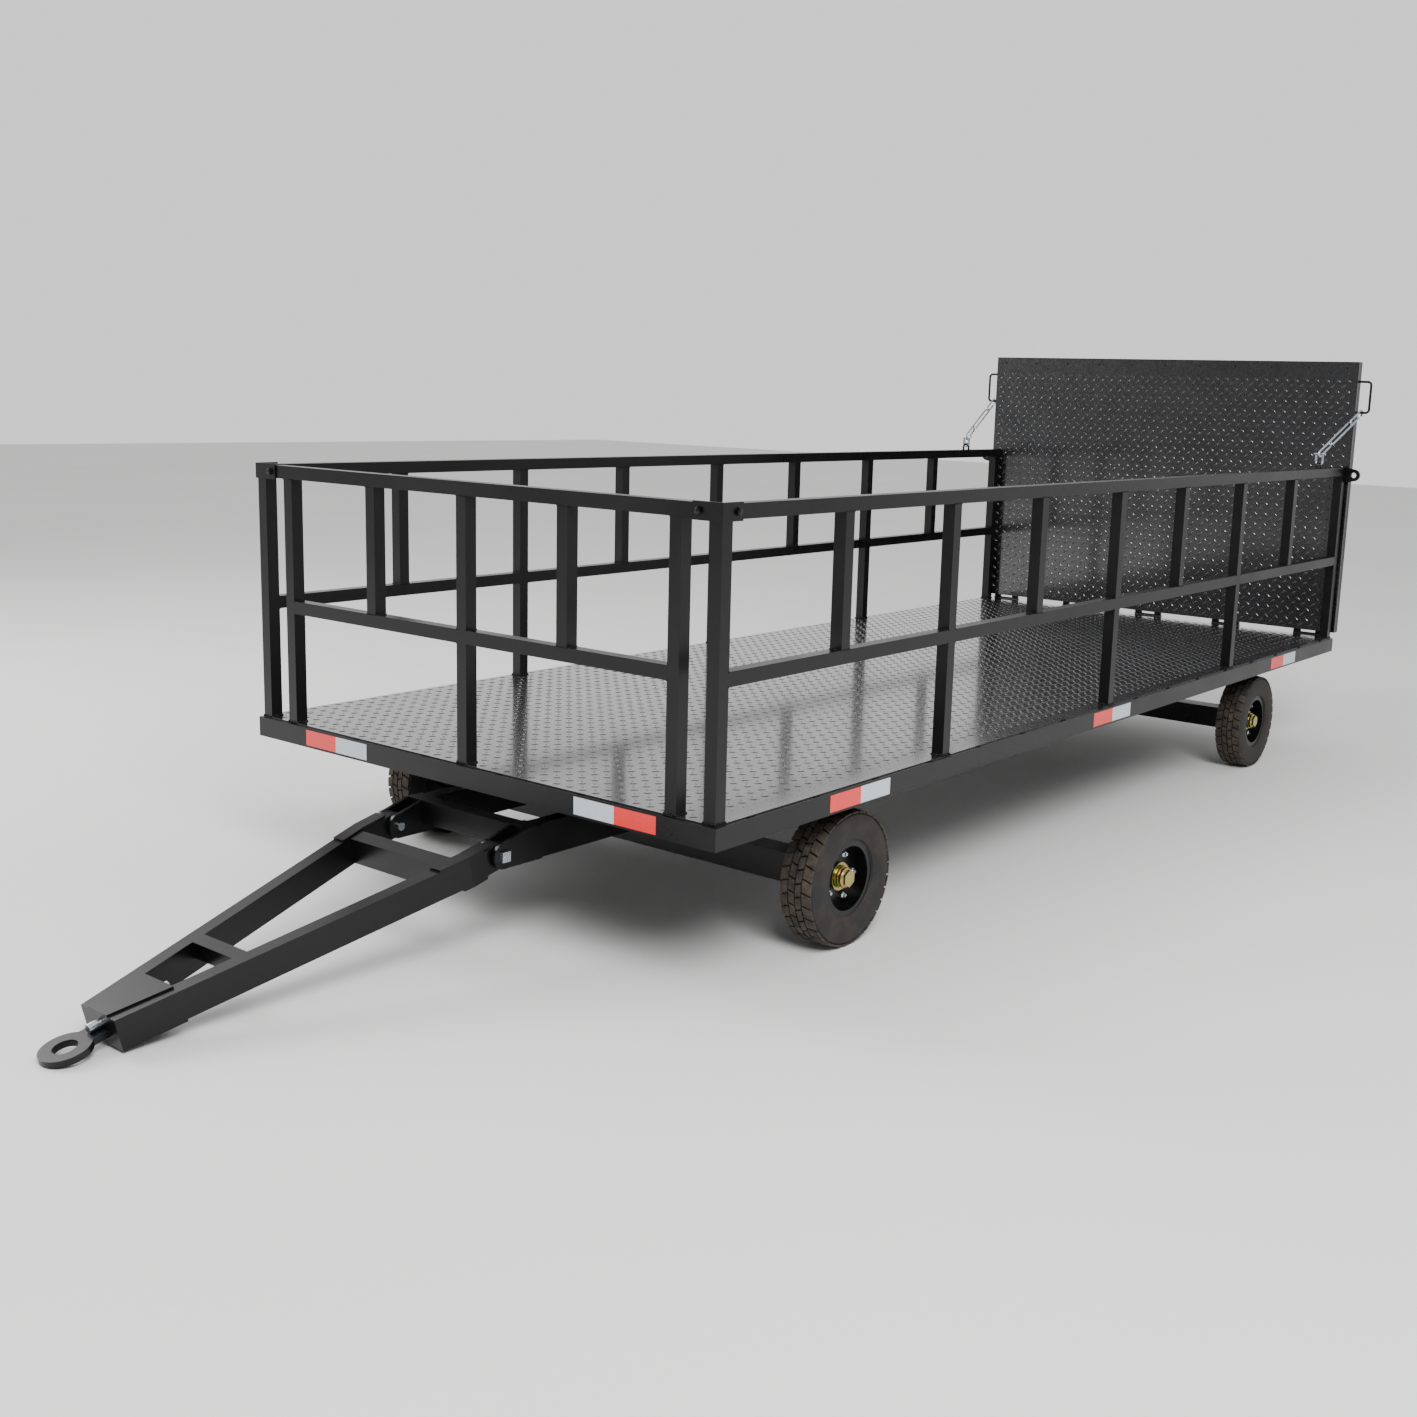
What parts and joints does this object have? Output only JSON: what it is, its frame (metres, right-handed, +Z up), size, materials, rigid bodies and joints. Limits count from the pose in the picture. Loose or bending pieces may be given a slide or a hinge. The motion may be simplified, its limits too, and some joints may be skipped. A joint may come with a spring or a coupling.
{
  "type": "flatbed trailer",
  "caption": "Drawbar flatbed trailer: chequer-plate deck with tube rails, turntable-steered front axle, solid tyres and a chained loading ramp.",
  "frame": {"origin": "on the ground, under the middle of the whole trailer with its drawbar down", "axes": "+Z up, +Y from the drawbar towards the ramp, +X to the trailer's left"},
  "size_m": [2.063, 6.006, 1.818],
  "materials": {
    "black_gloss_paint": "gloss",
    "black_chequer_plate": "gloss",
    "zinc_steel": "bright zinc",
    "yellow_zinc": "yellow zinc",
    "bare_steel": "turned",
    "tyre_rubber": "matt"
  },
  "bodies": {
    "root": {"side_frames": "black_gloss_paint", "end_frames": "black_gloss_paint", "main_rails": "black_gloss_paint", "cross_members": "black_gloss_paint", "deck_plate": "black_chequer_plate", "side_posts": "black_gloss_paint", "side_balusters": "black_gloss_paint", "side_top_rails": "black_gloss_paint", "side_mid_rails": "black_gloss_paint", "front_posts": "black_gloss_paint", "front_top_rail": "black_gloss_paint", "front_mid_rails": "black_gloss_paint", "front_balusters": "black_gloss_paint", "corner_brackets": "black_gloss_paint", "rail_end_lugs": "black_gloss_paint", "chain_eyes": "black_gloss_paint", "chain_shackles": "zinc_steel", "frame_hinges": "black_gloss_paint", "turntable_upper_plate": "black_gloss_paint", "turntable_upper_ring": "black_gloss_paint", "rear_axle_beam": "black_gloss_paint", "rear_axle_stands": "black_gloss_paint", "rear_spindles": "bare_steel"},
    "dolly": {"turntable_lower_plate": "black_gloss_paint", "turntable_lower_ring": "black_gloss_paint", "fork_arms": "black_gloss_paint", "fork_cross_tubes": "black_gloss_paint", "arm_pads": "black_gloss_paint", "front_axle_beam": "black_gloss_paint", "front_spindles": "bare_steel", "drawbar_ears": "black_gloss_paint", "drawbar_pins": "zinc_steel"},
    "drawbar": {"drawbar_members": "black_gloss_paint", "drawbar_gussets": "black_gloss_paint", "drawbar_cross_tubes": "black_gloss_paint", "nose_plates": "black_gloss_paint", "nose_block": "black_gloss_paint", "tow_eye": "black_gloss_paint", "tow_eye_bolt": "zinc_steel"},
    "wheel_front_left": {"tyre_front_left": "tyre_rubber", "rim_front_left": "black_gloss_paint", "hub_front_left": "yellow_zinc"},
    "wheel_front_right": {"tyre_front_right": "tyre_rubber", "rim_front_right": "black_gloss_paint", "hub_front_right": "yellow_zinc"},
    "wheel_rear_left": {"tyre_rear_left": "tyre_rubber", "rim_rear_left": "black_gloss_paint", "hub_rear_left": "yellow_zinc"},
    "wheel_rear_right": {"tyre_rear_right": "tyre_rubber", "rim_rear_right": "black_gloss_paint", "hub_rear_right": "yellow_zinc"},
    "ramp": {"ramp_rails": "black_gloss_paint", "ramp_uprights": "black_gloss_paint", "ramp_plate": "black_chequer_plate", "ramp_handles": "black_gloss_paint", "ramp_hinges": "black_gloss_paint"},
    "chain_left_body": {"chain_left": "zinc_steel"},
    "chain_right_body": {"chain_right": "zinc_steel"}
  },
  "joints": [
    {"name": "steer", "type": "hinge", "parent": "root", "child": "dolly", "pos_m": [0, -1.04302, 0.372], "axis": [0, 0, 1], "range_deg": [-90, 90]},
    {"name": "drawbar_lift", "type": "hinge", "parent": "dolly", "child": "drawbar", "pos_m": [0, -1.79302, 0.3], "axis": [-1, 0, 0], "range_deg": [0, 25]},
    {"name": "ramp_lower", "type": "hinge", "parent": "root", "child": "ramp", "pos_m": [0, 2.97198, 0.505], "axis": [-1, 0, 0], "range_deg": [0, 113]},
    {"name": "wheel_front_left_spin", "type": "hinge", "parent": "dolly", "child": "wheel_front_left", "pos_m": [0.87, -1.04302, 0.205], "axis": [1, 0, 0], "continuous": true},
    {"name": "wheel_front_right_spin", "type": "hinge", "parent": "dolly", "child": "wheel_front_right", "pos_m": [-0.87, -1.04302, 0.205], "axis": [1, 0, 0], "continuous": true},
    {"name": "wheel_rear_left_spin", "type": "hinge", "parent": "root", "child": "wheel_rear_left", "pos_m": [0.87, 2.13998, 0.205], "axis": [1, 0, 0], "continuous": true},
    {"name": "wheel_rear_right_spin", "type": "hinge", "parent": "root", "child": "wheel_rear_right", "pos_m": [-0.87, 2.13998, 0.205], "axis": [1, 0, 0], "continuous": true},
    {"name": "chain_left_swing", "type": "hinge", "parent": "root", "child": "chain_left_body", "pos_m": [0.938, 2.61698, 1.391], "axis": [1, 0, 0], "range_deg": [0, 152]},
    {"name": "chain_right_swing", "type": "hinge", "parent": "root", "child": "chain_right_body", "pos_m": [-0.938, 2.61698, 1.391], "axis": [1, 0, 0], "range_deg": [0, 152]}
  ],
  "couplings": [
    {"joint": "chain_left_swing", "follows": "ramp_lower", "ratio": 1.3363},
    {"joint": "chain_right_swing", "follows": "ramp_lower", "ratio": 1.3363}
  ]
}
